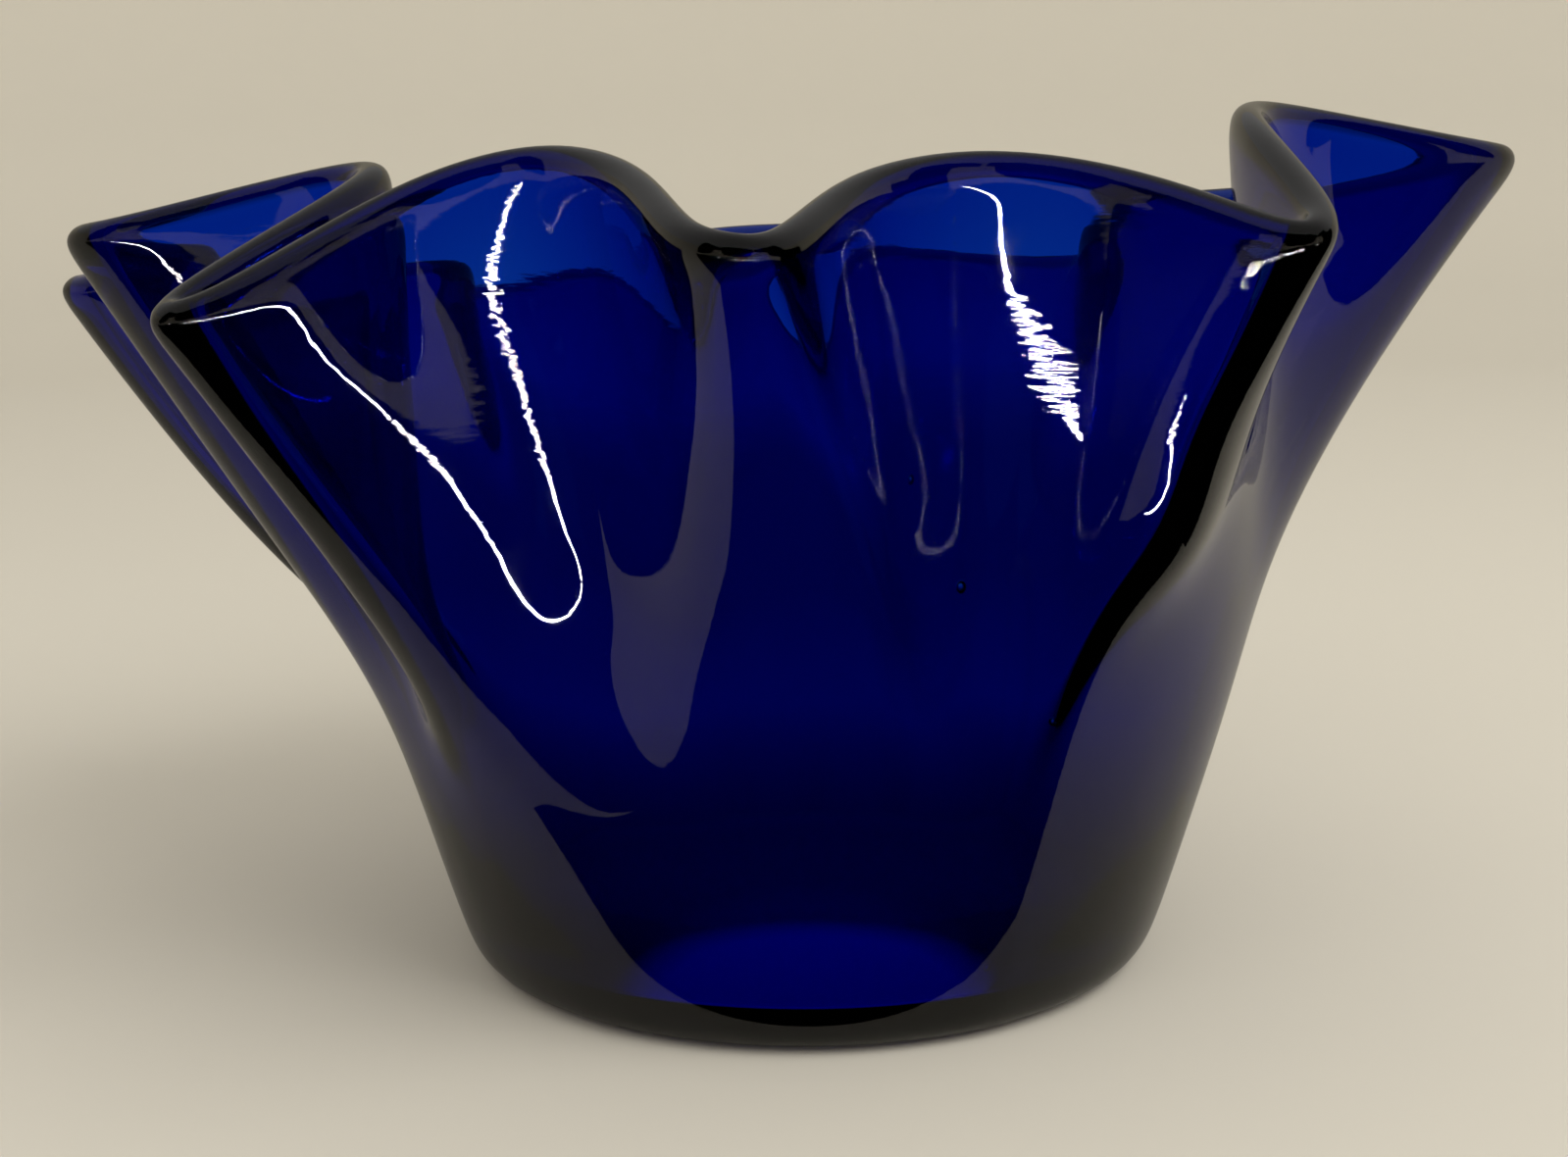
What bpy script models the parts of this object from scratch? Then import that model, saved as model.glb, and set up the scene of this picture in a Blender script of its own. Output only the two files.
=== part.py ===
# Ruffled glass vase: one blown piece of cobalt blue glass.
# The bowl was blown round, then its hot rim was pulled out and pushed in by hand
# into eight uneven ruffles. Metres, +Z up, origin at the middle of the flat foot.
import math

import bmesh
import bpy
from mathutils import Vector

NAME = "ruffled_glass_vase"

# Driving sizes
RIM_HEIGHT = 0.1152  # mean height of the rim before its rise and dip
RIM_RADIUS = 0.088  # mean radius of the rim before it is ruffled
FOOT_RADIUS = 0.049  # edge of the flat foot
HEEL_RADIUS = 0.0555  # where the rounded heel meets the wall
HEEL_HEIGHT = 0.006
FLOOR = 0.0075
WALL = 0.0046
LIP = 0.0056  # the rim is a rounded bead, a little thicker than the wall

# Each ruffle of the rim, all the way round: the angle in degrees, how far its crest is
# pulled out (or pushed in) from the mean radius and up (or down) from the mean height,
# how wide the rim swings round it, how late the pull sets in on the way up the wall
# (under 1 early, 2 only near the rim), and how many degrees the fold drifts low down.
RUFFLES = [
    (8, 0.029, 0.007, 1.05, 1.75, 0),
    (33, -0.018, 0.002, 1.05, 1.6, 0),
    (60, 0.021, -0.011, 1.05, 1.5, 0),
    (96, -0.016, -0.004, 1.05, 1.6, 0),
    (128, 0.021, -0.016, 1.05, 1.4, 0),
    (149, -0.012, -0.005, 1.05, 1.4, 0),
    (167, 0.041, -0.012, 1.05, 0.75, 0),
    (177, 0.008, -0.004, 1.05, 1.3, 0),
    (187, 0.025, -0.001, 1.05, 1.0, 0),
    (204, -0.020, 0.011, 1.0, 1.2, 5.5),
    (223, 0.026, -0.009, 0.9, 0.85, 0),
    (239, -0.0206, 0.0135, 1.1, 0.6, 7),
    (266, 0.022, 0.001, 0.9, 1.6, 6.5),
    (290, -0.020, 0.012, 1.5, 0.6, -2.5),
    (308, 0.018, 0.001, 0.5, 0.75, -8.5),
    (343, -0.019, 0.018, 1.1, 1.75, 0),
]
RUFFLE_START = 0.35  # share of the wall's height below which it stays round
LIP_START = 0.955  # share of the wall's height where the bead begins

# Cage density
COLUMNS_PER_RUFFLE = 4
WALL_ROWS = 7
FOOT_RINGS = (0.4, 0.85, 1.0)  # rings across the foot, as shares of its radius
HEEL_TURN = 0.67  # how far out the ring that rounds the heel lies, foot to wall
HEEL_LIFT = 0.3  # and how far up

GLASS_COLOUR = (0.004, 0.010, 0.20)
GLASS_ROUGHNESS = 0.05
GLASS_IOR = 1.5


def clear_scene():
    for ob in list(bpy.data.objects):
        bpy.data.objects.remove(ob, do_unlink=True)


def around(angle):
    """Unit vector from the axis at an angle in degrees."""
    a = math.radians(angle)
    return Vector((math.cos(a), math.sin(a), 0))


def crest(ruffle):
    """Where the rim lies at the middle of a ruffle."""
    angle, out, rise = ruffle[:3]
    return around(angle) * (RIM_RADIUS + out) + Vector((0, 0, RIM_HEIGHT + rise))


def rim_column(index, step):
    """A rim point between two crests, with its angle low down and its lateness."""
    here = RUFFLES[index]
    there = RUFFLES[(index + 1) % len(RUFFLES)]
    angle, _, _, swing, late, drift = here
    next_angle, _, _, next_swing, next_late, next_drift = there
    start, end = crest(here), crest(there)
    s = step / COLUMNS_PER_RUFFLE
    ease = s * s * (3 - 2 * s)
    chord = (end - start).length
    point = start.lerp(end, ease)
    point += around(angle + 90) * swing * chord * s * (1 - s) ** 2
    point -= around(next_angle + 90) * next_swing * chord * s * s * (1 - s)
    low = angle + drift
    turn = (next_angle + next_drift - low) % 360
    return point, low + turn * s, late + (next_late - late) * ease


def wall_ring(share, columns):
    """One ring of the wall: round low down, taking up the rim's ruffles higher up."""
    radius = HEEL_RADIUS + share * (RIM_RADIUS - HEEL_RADIUS)
    height = HEEL_HEIGHT + share * (RIM_HEIGHT - HEEL_HEIGHT)
    climb = max(0, share - RUFFLE_START) / (1 - RUFFLE_START)
    ring = []
    for rim_point, angle, lateness in columns:
        plain_rim = around(angle) * RIM_RADIUS + Vector((0, 0, RIM_HEIGHT))
        plain = around(angle) * radius + Vector((0, 0, height))
        ring.append(plain + (rim_point - plain_rim) * climb**lateness)
    return ring


def round_ring(radius, height, columns):
    return [around(angle) * radius + Vector((0, 0, height)) for _, angle, _ in columns]


def cage_rings():
    """The outer skin as rings of points from the foot to the rim, and the glass at each."""
    columns = [
        rim_column(i, k) for i in range(len(RUFFLES)) for k in range(COLUMNS_PER_RUFFLE)
    ]
    turn_radius = FOOT_RADIUS + HEEL_TURN * (HEEL_RADIUS - FOOT_RADIUS)
    rings = [round_ring(FOOT_RADIUS * share, 0, columns) for share in FOOT_RINGS]
    rings.append(round_ring(turn_radius, HEEL_HEIGHT * HEEL_LIFT, columns))
    depths = [FLOOR] * len(rings)
    for row in range(WALL_ROWS):
        rings.append(wall_ring(row / WALL_ROWS, columns))
        depths.append(WALL if row else FLOOR)
    for share in (LIP_START, 1):
        rings.append(wall_ring(share, columns))
        depths.append(LIP)
    return rings, depths


def skin_mesh(rings):
    """An open surface through the rings, closed only across the foot."""
    bm = bmesh.new()
    rows = [[bm.verts.new(point) for point in ring] for ring in rings]
    count = len(rows[0])
    bm.faces.new(list(reversed(rows[0])))
    for low, high in zip(rows, rows[1:]):
        for i in range(count):
            j = (i + 1) % count
            bm.faces.new((low[i], low[j], high[j], high[i]))
    bm.normal_update()
    mesh = bpy.data.meshes.new(NAME)
    bm.to_mesh(mesh)
    bm.free()
    return mesh


def add_thickness(ob, rings, depths):
    """Glass is thickest in the floor, thins up the wall and thickens again at the lip."""
    group = ob.vertex_groups.new(name="thickness")
    count = len(rings[0])
    for row, depth in enumerate(depths):
        group.add(list(range(row * count, (row + 1) * count)), depth / FLOOR, "REPLACE")
    solid = ob.modifiers.new("glass thickness", "SOLIDIFY")
    solid.thickness = FLOOR
    solid.offset = -1
    solid.use_even_offset = True
    solid.vertex_group = group.name
    soft = ob.modifiers.new("soft glass", "SUBSURF")
    soft.levels = 1
    soft.render_levels = 1


def glass_material():
    mat = bpy.data.materials.new("cobalt_glass")
    mat.use_nodes = True
    shader = mat.node_tree.nodes["Principled BSDF"]
    shader.inputs["Base Color"].default_value = (*GLASS_COLOUR, 1)
    shader.inputs["Roughness"].default_value = GLASS_ROUGHNESS
    shader.inputs["Metallic"].default_value = 0
    shader.inputs["IOR"].default_value = GLASS_IOR
    return mat


def build():
    clear_scene()
    rings, depths = cage_rings()
    ob = bpy.data.objects.new(NAME, skin_mesh(rings))
    collection = bpy.data.collections.new(NAME)
    bpy.context.scene.collection.children.link(collection)
    collection.objects.link(ob)
    add_thickness(ob, rings, depths)
    ob.data.materials.append(glass_material())
    for face in ob.data.polygons:
        face.use_smooth = True


build()
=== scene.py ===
# %% [markdown]
# # A ruffled glass vase
# This lesson models and lights one piece of hand-blown cobalt blue glass. A glassmaker blew a round,
# straight-sided bowl on a flat foot, heated its rim again, and pulled and pushed the soft glass into
# eight uneven ruffles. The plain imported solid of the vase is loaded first. The lesson then makes a
# finer vase of the same size, gives it real glass, and sets up a small photo table.

import math

import bpy
from mathutils import Matrix, Vector


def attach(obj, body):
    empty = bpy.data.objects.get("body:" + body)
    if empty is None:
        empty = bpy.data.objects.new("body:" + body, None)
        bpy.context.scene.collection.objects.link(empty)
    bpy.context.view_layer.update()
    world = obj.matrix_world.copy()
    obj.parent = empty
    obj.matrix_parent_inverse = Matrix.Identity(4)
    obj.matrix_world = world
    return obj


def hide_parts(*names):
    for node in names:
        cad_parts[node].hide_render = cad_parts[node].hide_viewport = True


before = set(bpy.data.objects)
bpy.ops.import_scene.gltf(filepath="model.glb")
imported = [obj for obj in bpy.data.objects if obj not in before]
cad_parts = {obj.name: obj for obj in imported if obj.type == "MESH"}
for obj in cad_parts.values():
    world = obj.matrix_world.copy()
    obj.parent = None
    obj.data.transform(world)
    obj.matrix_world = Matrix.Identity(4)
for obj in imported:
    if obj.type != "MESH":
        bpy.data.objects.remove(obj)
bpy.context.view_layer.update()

# %% [markdown]
# ## The sizes of the vase
# All the shape comes from a few sizes in metres and one line for each swing of the rim. Every line
# holds the angle round the vase, how far the rim is pulled out or pushed in there, how far it rises
# or dips, how widely it swings, how late the pull sets in on the way up, and how many degrees the
# fold drifts low down. The sizes and the crests are those of the solid, so the fine vase fits it.
# Some folds of the front set in a little earlier or later here, to carry the mirrored light better.

# %% Sizes
RIM_HEIGHT = 0.1152  # mean height of the rim before its rise and dip
RIM_RADIUS = 0.088  # mean radius of the rim before it is ruffled
FOOT_RADIUS = 0.049  # edge of the flat foot
HEEL_RADIUS = 0.0555  # where the rounded heel meets the wall
HEEL_HEIGHT = 0.006
FLOOR = 0.0075  # thickness of the glass in the floor
WALL = 0.0046  # in the wall
LIP = 0.0056  # and in the rounded lip
RUFFLES = [
    (8, 0.029, 0.007, 1.05, 1.75, 0),
    (33, -0.018, 0.002, 1.05, 1.6, 0),
    (60, 0.021, -0.011, 1.05, 1.5, 0),
    (96, -0.016, -0.004, 1.05, 1.6, 0),
    (128, 0.021, -0.016, 1.05, 1.4, 0),
    (149, -0.012, -0.005, 1.05, 1.4, 0),
    (167, 0.041, -0.012, 1.05, 0.60, 0),
    (177, 0.008, -0.004, 1.05, 1.3, 0),
    (187, 0.025, -0.001, 1.05, 0.90, 0),
    (204, -0.020, 0.011, 1.0, 1.1, 5.9),
    (223, 0.026, -0.009, 0.9, 1.1, 0),
    (239, -0.0206, 0.0135, 1.1, 0.6, 7),
    (266, 0.022, 0.001, 0.79, 2.05, 6),
    (290, -0.020, 0.012, 1.38, 0.65, 2.8),
    (308, 0.018, 0.001, 0.6, 1.3, -7),
    (343, -0.019, 0.018, 1.06, 1.55, -0.5),
]
RUFFLE_START = 0.35  # share of the wall's height below which it stays round
LIP_START = 0.955  # share of the wall's height where the lip begins
STEPS = 4
COLUMNS = STEPS * len(RUFFLES)
print("columns round the vase:", COLUMNS)

# %% [markdown]
# ## The foot
# The vase stands on a flat round foot, so the model grows from a disc. It has one point for every
# column of the wall, and one big face in the middle is enough, because the foot is flat.

# %% A disc for the foot
FOOT_RINGS = (0.85, 1.0)  # rings of the flat foot, as shares of its radius
disc_radius = FOOT_RADIUS * FOOT_RINGS[0]
bpy.ops.object.select_all(action="DESELECT")
bpy.ops.mesh.primitive_circle_add(
    vertices=COLUMNS, radius=disc_radius, fill_type="NGON", location=(0, 0, 0)
)
vase = bpy.context.object
vase.name = "vase_glass"
print("disc of the foot, mm:", round(2000 * disc_radius, 1))

# %% [markdown]
# ## The round blank
# Before it was ruffled, the vase was a plain bowl: a flat foot, a rounded heel and a wall that leans
# out a little. The disc's outer edge is extruded, widened and lifted ring by ring, which is how a
# bowl grows from its base. The rings are far apart, because a subdivision surface rounds them later,
# and few points are easier to pull than many.

# %% Rings for the foot, heel and wall
HEEL_TURN = 0.67  # how far out the ring that rounds the heel lies, foot to wall
HEEL_LIFT = 0.3  # and how far up
WALL_ROWS = 7
turn_radius = FOOT_RADIUS + HEEL_TURN * (HEEL_RADIUS - FOOT_RADIUS)
rings = [(FOOT_RADIUS * share, 0) for share in FOOT_RINGS]
rings.append((turn_radius, HEEL_HEIGHT * HEEL_LIFT))
depths = [FLOOR] * (len(rings) + 1) + [WALL] * (WALL_ROWS - 1) + [LIP, LIP]
for share in [row / WALL_ROWS for row in range(WALL_ROWS)] + [LIP_START, 1]:
    radius = HEEL_RADIUS + share * (RIM_RADIUS - HEEL_RADIUS)
    rings.append((radius, HEEL_HEIGHT + share * (RIM_HEIGHT - HEEL_HEIGHT)))


def grow_ring(last, new):
    """Extrude the selected edge, then widen and lift it to the new ring."""
    bpy.ops.mesh.extrude_edges_indiv()
    wider = new[0] / last[0]
    bpy.ops.transform.resize(value=(wider, wider, 1))
    bpy.ops.transform.translate(value=(0, 0, new[1] - last[1]))


bpy.ops.object.mode_set(mode="EDIT")
bpy.ops.mesh.select_mode(type="EDGE")
bpy.ops.mesh.select_all(action="SELECT")
for last, new in zip(rings, rings[1:]):
    grow_ring(last, new)
bpy.ops.mesh.select_all(action="SELECT")
bpy.ops.mesh.normals_make_consistent(inside=False)
bpy.ops.object.mode_set(mode="OBJECT")
print("round blank:", len(vase.data.vertices), "points in", len(rings), "rings")

# %% [markdown]
# ## The ruffled rim
# The rim is a smooth curve that swings out and in through the crests in the list. Each column of
# points knows its own place on that curve. No single tool makes such uneven ruffles, so this curve
# is worked out in code, with an easy start and end at every crest, as soft glass hangs.


# %% Where the rim goes
def around(angle):
    """Unit vector from the axis at an angle in degrees."""
    a = math.radians(angle)
    return Vector((math.cos(a), math.sin(a), 0))


def crest(ruffle):
    """Where the rim lies at the middle of a ruffle."""
    angle, out, rise = ruffle[:3]
    return around(angle) * (RIM_RADIUS + out) + Vector((0, 0, RIM_HEIGHT + rise))


def rim_column(column):
    """Rim point of a column, its angle low down, and how late its pull sets in."""
    index, step = divmod(column, STEPS)
    here, there = RUFFLES[index], RUFFLES[(index + 1) % len(RUFFLES)]
    angle, _, _, swing, late, drift = here
    next_angle, _, _, next_swing, next_late, next_drift = there
    start, end = crest(here), crest(there)
    s = step / STEPS
    ease = s * s * (3 - 2 * s)
    chord = (end - start).length
    point = start.lerp(end, ease)
    point += around(angle + 90) * swing * chord * s * (1 - s) ** 2
    point -= around(next_angle + 90) * next_swing * chord * s * s * (1 - s)
    low = angle + drift
    turn = (next_angle + next_drift - low) % 360
    return point, low + turn * s, late + (next_late - late) * ease


columns = [rim_column(column) for column in range(COLUMNS)]
rim = [point for point, _, _ in columns]
print("rim length, mm:", round(1000 * sum((a - b).length for a, b in zip(rim, rim[1:] + rim[:1]))))

# %% [markdown]
# ## The folds
# High up, a point takes nearly the whole pull of the rim above it, and low down almost none, so the
# folds fade into the round bowl as they do in soft glass. A vertex group keeps how thick the glass
# is in every ring. It is filled before the points move, while each ring is still easy to tell.


# %% Pull every point
def pull(point):
    """Slide a point of the blank round to its column, then give it its share of the ruffle."""
    column = round(math.degrees(math.atan2(point.y, point.x)) / 360 * COLUMNS) % COLUMNS
    rim_point, angle, lateness = columns[column]
    radius = math.hypot(point.x, point.y)
    plain = around(angle) * radius + Vector((0, 0, point.z))
    share = (point.z - HEEL_HEIGHT) / (RIM_HEIGHT - HEEL_HEIGHT)
    climb = max(0, share - RUFFLE_START) / (1 - RUFFLE_START)
    plain_rim = around(angle) * RIM_RADIUS + Vector((0, 0, RIM_HEIGHT))
    return plain + (rim_point - plain_rim) * climb**lateness


thick = vase.vertex_groups.new(name="thickness")
for vertex in vase.data.vertices:
    thick.add([vertex.index], depths[vertex.index // COLUMNS] / FLOOR, "REPLACE")
for vertex in vase.data.vertices:
    vertex.co = pull(vertex.co)
heights = [1000 * vertex.co.z for vertex in vase.data.vertices[-COLUMNS:]]
print("rim between", round(min(heights)), "and", round(max(heights)), "mm high")

# %% [markdown]
# ## The thickness of the glass
# Blown glass is thickest in the floor and thinner in the wall, and the fire rounds the lip. Solidify
# gives the sheet its thickness towards the inside, with a vertex group that thins it up the wall.
# Subdivision Surface then rounds the heel, the folds and the lip in one go.


# %% Thickness and smoothing
def apply(ob, modifier):
    bpy.ops.object.select_all(action="DESELECT")
    ob.select_set(True)
    bpy.context.view_layer.objects.active = ob
    bpy.ops.object.modifier_apply(modifier=modifier.name)


solid = vase.modifiers.new("glass thickness", "SOLIDIFY")
solid.thickness = FLOOR
solid.offset = -1
solid.use_even_offset = True
solid.vertex_group = thick.name
apply(vase, solid)

soft = vase.modifiers.new("soft glass", "SUBSURF")
soft.levels = 3
soft.render_levels = 3
apply(vase, soft)
bpy.ops.object.shade_smooth()
print("vase faces:", len(vase.data.polygons))

# %% [markdown]
# ## Tool marks
# A hand-blown wall is never quite even: the paddle and the tongs leave shallow dents and swellings,
# up to two millimetres deep, that bend the mirrored lamp. Each line holds the angle round the vase,
# the height, the width and how far the wall is pushed out (or in). A ray shot at the axis finds the
# skin there, and the points round it are eased along its normal.

# %% Shallow dents
DENTS = [
    (226.7, 0.0929, 0.007, 0.00025),
    (229.8, 0.1102, 0.007, -0.00021),
    (232.7, 0.1051, 0.010, -0.00042),
    (234.2, 0.0669, 0.007, 0.00006),
    (237.3, 0.0764, 0.007, 0.00011),
    (240.0, 0.1189, 0.014, 0.00077),
    (245.8, 0.0624, 0.007, 0.00084),
    (247.7, 0.0868, 0.014, -0.00082),
    (291.2, 0.1185, 0.007, -0.00007),
    (296.3, 0.0766, 0.007, -0.00051),
    (300.9, 0.0678, 0.007, 0.00016),
    (302.9, 0.0729, 0.010, 0.00191),
    (303.2, 0.0920, 0.007, 0.00014),
    (304.3, 0.0968, 0.007, -0.00011),
    (305.6, 0.0775, 0.007, 0.00179),
]
OUTSIDE = 0.3  # a start for the ray, well clear of the vase


def skin_at(angle, height):
    """Place and normal of the outer skin at an angle and height."""
    start = around(angle) * OUTSIDE + Vector((0, 0, height))
    _, spot, normal, _ = vase.ray_cast(start, -around(angle))
    return spot, normal


dents = [skin_at(angle, height) + (width, push) for angle, height, width, push in DENTS]
for vertex in vase.data.vertices:
    move = Vector()
    for spot, normal, width, push in dents:
        far = (vertex.co - spot).length / width
        move += normal * push * math.exp(-far * far / 2)
    vertex.co += move
print("dents and swellings:", len(dents))

# %% [markdown]
# ## Seed bubbles
# A few tiny bubbles were caught in the glass. Each is a small sphere inside the wall, at an angle
# and a height and with its own size. Its faces are turned to look inwards, because the glass lies
# outside it.

# %% Seed bubbles
SEEDS = [
    (281.7, 0.0853, 0.0007),
    (288.9, 0.0695, 0.0009),
    (298.9, 0.05, 0.0006),
    (296.6, 0.012, 0.0006),
]
SEED_DEPTH = 0.0022  # how far under the outer skin they lie
bubbles = []
for angle, height, size in SEEDS:
    spot, normal = skin_at(angle, height)
    middle = spot - normal * SEED_DEPTH
    bpy.ops.mesh.primitive_uv_sphere_add(segments=16, ring_count=8, radius=size, location=middle)
    bpy.ops.object.mode_set(mode="EDIT")
    bpy.ops.mesh.flip_normals()
    bpy.ops.object.mode_set(mode="OBJECT")
    bpy.ops.object.shade_smooth()
    bubbles.append(bpy.context.object)
bpy.ops.object.select_all(action="DESELECT")
for piece in bubbles + [vase]:
    piece.select_set(True)
bpy.context.view_layer.objects.active = vase
bpy.ops.object.join()
print("seed bubbles:", len(bubbles))

# %% [markdown]
# ## Cobalt glass
# Blue glass isn't painted: its colour is all inside. The surface itself is clear, and light loses its
# red and green as it passes through the glass, so thick places turn almost black and one thin wall
# is a bright blue. Volume Absorption does this: its colour is what survives and its density is how
# fast the rest goes.

# %% Glass material
glass = bpy.data.materials.new("cobalt_glass")
glass.use_nodes = True
nodes, links = glass.node_tree.nodes, glass.node_tree.links
skin = nodes["Principled BSDF"]
skin.inputs["Base Color"].default_value = (1, 1, 1, 1)
skin.inputs["Transmission Weight"].default_value = 1
skin.inputs["IOR"].default_value = 1.5
depth = nodes.new("ShaderNodeVolumeAbsorption")
depth.inputs["Color"].default_value = (0.0, 0.5, 0.885, 1)
depth.inputs["Density"].default_value = 1350
links.new(depth.outputs["Volume"], nodes["Material Output"].inputs["Volume"])
print("glass nodes:", len(nodes))

# %% [markdown]
# ## The skin of the glass
# Tools and a cooling wind leave their marks on hand-worked glass. Broad soft waves bend the mirrored
# lamps and small ripples make the bright lines tremble. Each is a noise of its own size on Object
# coordinates, so that it stays on the glass, and short helpers make the nodes.


# %% Noises for the skin
def noise(vector, scale, detail):
    node = nodes.new("ShaderNodeTexNoise")
    node.inputs["Scale"].default_value = scale
    node.inputs["Detail"].default_value = detail
    links.new(vector, node.inputs["Vector"])
    return node.outputs["Fac"]


def bump(height, distance, strength, before=None):
    node = nodes.new("ShaderNodeBump")
    node.inputs["Distance"].default_value = distance
    node.inputs["Strength"].default_value = strength
    links.new(height, node.inputs["Height"])
    if before:
        links.new(before, node.inputs["Normal"])
    return node.outputs["Normal"]


def spread(value, low, high, to_low, to_high):
    node = nodes.new("ShaderNodeMapRange")
    for name, number in zip(("From Min", "From Max", "To Min", "To Max"), (low, high, to_low, to_high)):
        node.inputs[name].default_value = number
    links.new(value, node.inputs["Value"])
    return node.outputs["Result"]


def times(first, second):
    node = nodes.new("ShaderNodeMath")
    node.operation = "MULTIPLY"
    links.new(first, node.inputs[0])
    links.new(second, node.inputs[1])
    return node.outputs["Value"]


place = nodes.new("ShaderNodeTexCoord").outputs["Object"]
broad = noise(place, 26, 1.5)
ripple = noise(place, 150, 2)
print("glass nodes with the noises:", len(nodes))

# %% [markdown]
# ## Chill marks
# Round the rim there are fine level marks where the hot glass was pulled. A noise that is squeezed
# seven times in height gives such lines. They come in patches, and only near the rim.

# %% Chill marks near the rim
MARKS_FROM, MARKS_FULL = 0.075, 0.115  # heights where the marks begin and are full
flat = nodes.new("ShaderNodeMapping")
flat.inputs["Scale"].default_value = (1, 1, 7)
links.new(place, flat.inputs["Vector"])
marks = noise(flat.outputs["Vector"], 130, 4)
parts = nodes.new("ShaderNodeSeparateXYZ")
links.new(place, parts.inputs["Vector"])
near_rim = spread(parts.outputs["Z"], MARKS_FROM, MARKS_FULL, 0, 1)
patches = spread(noise(place, 40, 1), 0.45, 0.6, 0, 1)
marks = times(marks, times(near_rim, patches))
print("marks from", round(1000 * MARKS_FROM), "mm up")

# %% [markdown]
# ## The gloss
# The bump node adds the marks one after the other, each with its own depth. Fire-polished glass is
# nearly as smooth as a mirror, so the roughness only wavers a little with the ripples.

# %% Bumps and gloss
waves = bump(broad, 0.002, 0.1)
ripples = bump(ripple, 0.0002, 0.06, waves)
links.new(bump(marks, 0.0004, 0.06, ripples), skin.inputs["Normal"])
links.new(spread(ripple, 0.4, 0.7, 0.0, 0.03), skin.inputs["Roughness"])

vase.data.materials.clear()
vase.data.materials.append(glass)
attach(vase, "root")
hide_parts("ruffled_glass_vase")
print("finished glass nodes:", len(nodes))

# %% [markdown]
# ## Pale paper
# The vase stands on pale paper. The paper's colour is written as it should look, and the lamps are
# set to render it that way. It is almost matt, so it shows the vase's shadow and no shine.

# %% Paper
PAPER = (0.62, 0.58, 0.49, 1)
paper = bpy.data.materials.new("pale_paper")
paper.use_nodes = True
paper_nodes, paper_links = paper.node_tree.nodes, paper.node_tree.links
sheet = paper_nodes["Principled BSDF"]
sheet.inputs["Roughness"].default_value = 0.9
sheet.inputs["Specular IOR Level"].default_value = 0
rays = paper_nodes.new("ShaderNodeLightPath")
print("paper colour:", PAPER[:3])

# %% [markdown]
# ## The paper in the glass
# Light Path tells what kind of ray meets the paper. In the mirror of the glass the paper's colour is
# darkened, a painted shade in its reflection. Through the glass it shows a painted glow where the foot
# rests on it, a painted shadow round the foot and pale paper again farther off. A colour ramp on the
# distance from the foot paints this, while the camera sees the plain paper and the vase's shadow.

# %% Paper as the glass shows it
# painted shade: the paper's colour is darkened for reflections only
MIRRORED = 0.55  # how bright the mirrored paper is
FOOT_GLOW = (0, -0.045, 0)  # the front edge of the foot
# painted glow and painted shadow: bright paper under the foot, a dark ring for the vase's shadow, then
# pale again
PAINTED_GLOW_AND_SHADOW = [  # distance from there in metres, and how bright the paper is
    (0.024, 0.63),
    (0.031, 0.045),
    (0.075, 0.045),
    (0.2, 0.17),
    (0.35, 0.12),
    (0.6, 0.13),
    (0.95, 0.26),
]


def dimmed(level):
    """The paper's colour at a share of its brightness."""
    return [level * part for part in PAPER[:3]] + [1]


# painted shade in the reflection: the mirrored paper gets the darkened colour
shade = paper_nodes.new("ShaderNodeMix")
shade.data_type = "RGBA"
shade.inputs["A"].default_value = PAPER
shade.inputs["B"].default_value = dimmed(MIRRORED)
paper_links.new(rays.outputs["Is Glossy Ray"], shade.inputs["Factor"])
paper_links.new(shade.outputs["Result"], sheet.inputs["Base Color"])

from_foot = paper_nodes.new("ShaderNodeVectorMath")
from_foot.operation = "DISTANCE"
from_foot.inputs[1].default_value = FOOT_GLOW
paper_links.new(paper_nodes.new("ShaderNodeTexCoord").outputs["Object"], from_foot.inputs[0])
glow = paper_nodes.new("ShaderNodeValToRGB")
stops = glow.color_ramp.elements
for distance, level in PAINTED_GLOW_AND_SHADOW:
    stops.new(distance).color = dimmed(level)
stops.remove(stops[0])
stops.remove(stops[-1])
paper_links.new(from_foot.outputs["Value"], glow.inputs["Fac"])

# the ramp's colour shines as emission seen through the glass only, a painted glow brighter than white
# near the foot
seen_through = paper_nodes.new("ShaderNodeEmission")
seen_through.inputs["Strength"].default_value = 4
paper_links.new(glow.outputs["Color"], seen_through.inputs["Color"])
either = paper_nodes.new("ShaderNodeMixShader")
paper_links.new(rays.outputs["Is Transmission Ray"], either.inputs["Fac"])
paper_links.new(sheet.outputs["BSDF"], either.inputs[1])
paper_links.new(seen_through.outputs["Emission"], either.inputs[2])
paper_links.new(either.outputs["Shader"], paper_nodes["Material Output"].inputs["Surface"])
print("stops of the glow:", len(stops))

# %% [markdown]
# ## The sweep
# A sheet of paper that curves up into a wall hides the horizon. This one curves up all round, so it
# also serves from behind. It grows ring by ring from a disc, like the blank of the vase.

# %% Paper sweep
SWEEP_RINGS = [(0.9, 0), (1.1, 0.02), (1.28, 0.12), (1.36, 0.3), (1.38, 0.65)]
bpy.ops.object.select_all(action="DESELECT")
bpy.ops.mesh.primitive_circle_add(
    vertices=48, radius=SWEEP_RINGS[0][0], fill_type="NGON", location=(0, 0, 0)
)
sweep = bpy.context.object
sweep.name = "paper_sweep"
bpy.ops.object.mode_set(mode="EDIT")
bpy.ops.mesh.select_mode(type="EDGE")
bpy.ops.mesh.select_all(action="SELECT")
for last, new in zip(SWEEP_RINGS, SWEEP_RINGS[1:]):
    grow_ring(last, new)
bpy.ops.object.mode_set(mode="OBJECT")
bpy.ops.object.shade_smooth()
sweep.data.materials.append(paper)
print("sweep, m across:", 2 * SWEEP_RINGS[-1][0])

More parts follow.
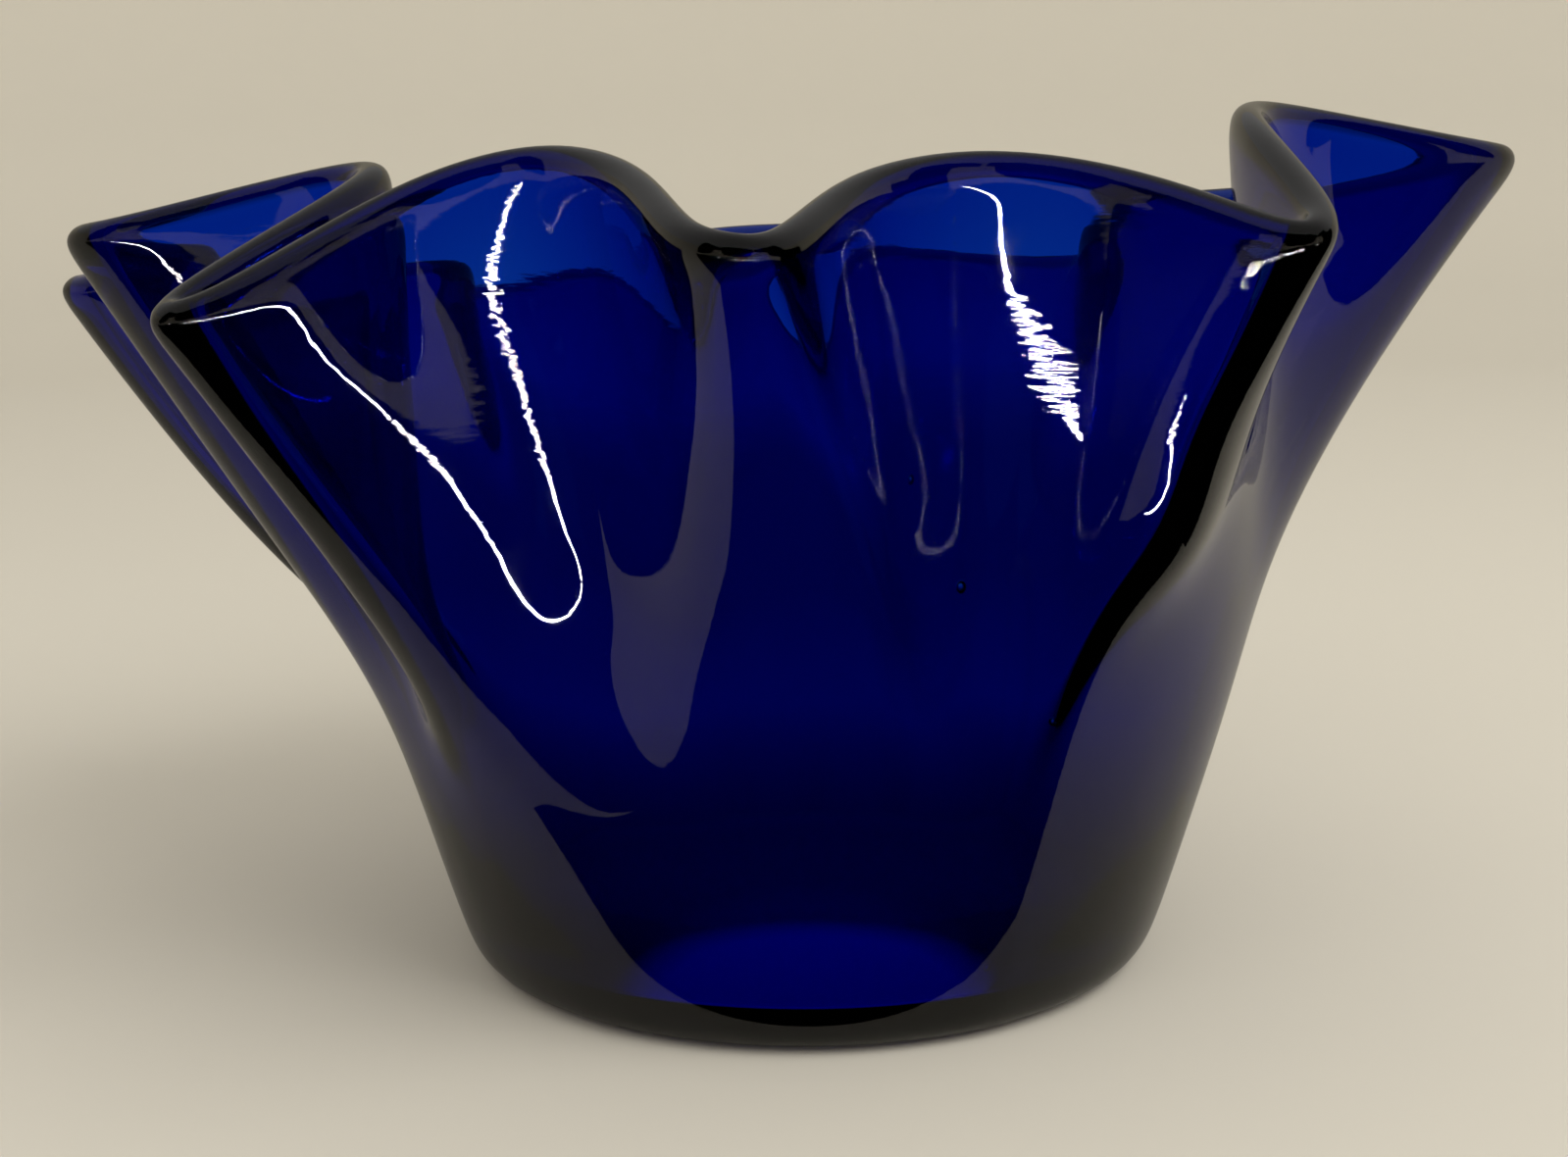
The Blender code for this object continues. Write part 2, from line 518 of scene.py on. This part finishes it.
# %% [markdown]
# ## Light
# Two soft lamps light the paper evenly. In the mirror of the glass they would be big white patches,
# so reflections leave them out. One long thin tube in front draws the bright lines on the ruffles,
# and it shows in the glass only, or its light would streak the paper beside it.


# %% Lamps
def area_lamp(name, place, target, size, watts, mirrored):
    light = bpy.data.lights.new(name, "AREA")
    light.shape = "RECTANGLE"
    light.size, light.size_y = size
    light.energy = watts
    lamp = bpy.data.objects.new(name, light)
    bpy.context.scene.collection.objects.link(lamp)
    lamp.location = place
    lamp.rotation_mode = "QUATERNION"
    lamp.rotation_quaternion = (Vector(target) - Vector(place)).to_track_quat("-Z", "Y")
    lamp.visible_glossy = mirrored
    lamp.visible_diffuse = not mirrored
    lamp.visible_camera = False
    lamp.visible_transmission = False
    print(name, "gives", watts, "W")


area_lamp("soft_right", (0.9, -0.8, 0.9), (0, 0, 0), (1.2, 1.2), 18, False)
area_lamp("soft_front", (-0.2, -1.2, 0.8), (0, 0, 0), (1.8, 0.8), 6, False)
area_lamp("long_tube", (0.315, -0.45, 0.004), (0.315, 0, 0.08), (1.87, 0.003), 3, True)

# %% [markdown]
# ## The room
# The world gives the even light of a pale room. In the mirror of the glass it is dimmer, as a real
# room is. Light Path tells the two apart, and Map Range turns its answer into a strength.

# %% Room light
ROOM = 0.75
ROOM_MIRRORED = 0.3
world = bpy.data.worlds.new("soft_room")
bpy.context.scene.world = world
world.use_nodes = True
room = world.node_tree.nodes["Background"]
room.inputs["Color"].default_value = (1, 0.98, 0.95, 1)
room_rays = world.node_tree.nodes.new("ShaderNodeLightPath")
dimmer = world.node_tree.nodes.new("ShaderNodeMapRange")
dimmer.inputs["To Min"].default_value = ROOM
dimmer.inputs["To Max"].default_value = ROOM_MIRRORED
world.node_tree.links.new(room_rays.outputs["Is Glossy Ray"], dimmer.inputs["Value"])
world.node_tree.links.new(dimmer.outputs["Result"], room.inputs["Strength"])
print("room strength:", ROOM, "and mirrored:", ROOM_MIRRORED)

# %% [markdown]
# ## Black cards
# Shiny dark glass mirrors all that is in front of it, so photographers put black cards there. Two
# lie low in front of the vase, three stand round it farther off and one small card is close beside
# it. The gaps between them leave the pale strips on the glass. Only reflections see the cards.

# %% Black cards
BLACK = (0.002, 0.002, 0.002, 1)
ABOVE_PAPER = 0.001
LYING = (0, 0, 0)
FACING = (math.pi / 2, 0, 0)
SIDEWAYS = (0, math.pi / 2, 0)
card_paper = bpy.data.materials.new("black_card")
card_paper.use_nodes = True
card_shader = card_paper.node_tree.nodes["Principled BSDF"]
card_shader.inputs["Base Color"].default_value = BLACK
card_shader.inputs["Specular IOR Level"].default_value = 0


def black_card(name, place, turn, size):
    bpy.ops.object.select_all(action="DESELECT")
    bpy.ops.mesh.primitive_plane_add(size=1, location=place, rotation=turn)
    card = bpy.context.object
    card.name = name
    card.scale = (size[0], size[1], 1)
    card.data.materials.append(card_paper)
    card.visible_camera = False
    card.visible_diffuse = False
    card.visible_transmission = False
    card.visible_shadow = False
    print(name, "is", size, "m")


black_card("card_low", (0.51, -0.5785, ABOVE_PAPER), LYING, (1.18, 1.043))
black_card("card_low_left", (-0.59, -0.5975, ABOVE_PAPER), LYING, (1.02, 1.005))
black_card("card_front", (0.0, -1.1, 0.6), FACING, (2.2, 1.2))
black_card("card_right", (1.28, -0.5, 0.6), SIDEWAYS, (1.2, 1.2))
black_card("card_left", (-1.1, -0.65, 0.6), SIDEWAYS, (1.2, 0.9))
black_card("card_beside", (0.15, -0.065, 0.08), SIDEWAYS, (0.16, 0.08))

# %% [markdown]
# ## The camera
# The photograph looks at the vase from just above its rim and from close by, so the foot is seen from
# higher up than the rim is. The camera's three axes are worked out from how far it turns, looks down
# and leans.

# %% Camera
CAMERA_PLACE = (0.0018, -0.388, 0.135)
TURN, DOWN, LEAN = math.radians(0.8), math.radians(11.1), math.radians(-0.7)
cam_data = bpy.data.cameras.new("camera")
cam_data.sensor_width = 36
cam_data.lens = 57.6
cam_data.clip_start = 0.01
camera = bpy.data.objects.new("camera", cam_data)
bpy.context.scene.collection.objects.link(camera)
right = Vector((math.cos(TURN), math.sin(TURN), 0))
ahead = Vector((-math.sin(TURN) * math.cos(DOWN), math.cos(TURN) * math.cos(DOWN), -math.sin(DOWN)))
up = right.cross(ahead)
side = right * math.cos(LEAN) + up * math.sin(LEAN)
top = up * math.cos(LEAN) - right * math.sin(LEAN)
camera.matrix_world = Matrix((side, top, -ahead)).transposed().to_4x4()
camera.location = CAMERA_PLACE
bpy.context.scene.camera = camera
bpy.context.scene.view_settings.view_transform = "Standard"
print("camera to the vase's axis, mm:", round(1000 * math.hypot(*CAMERA_PLACE[:2])))
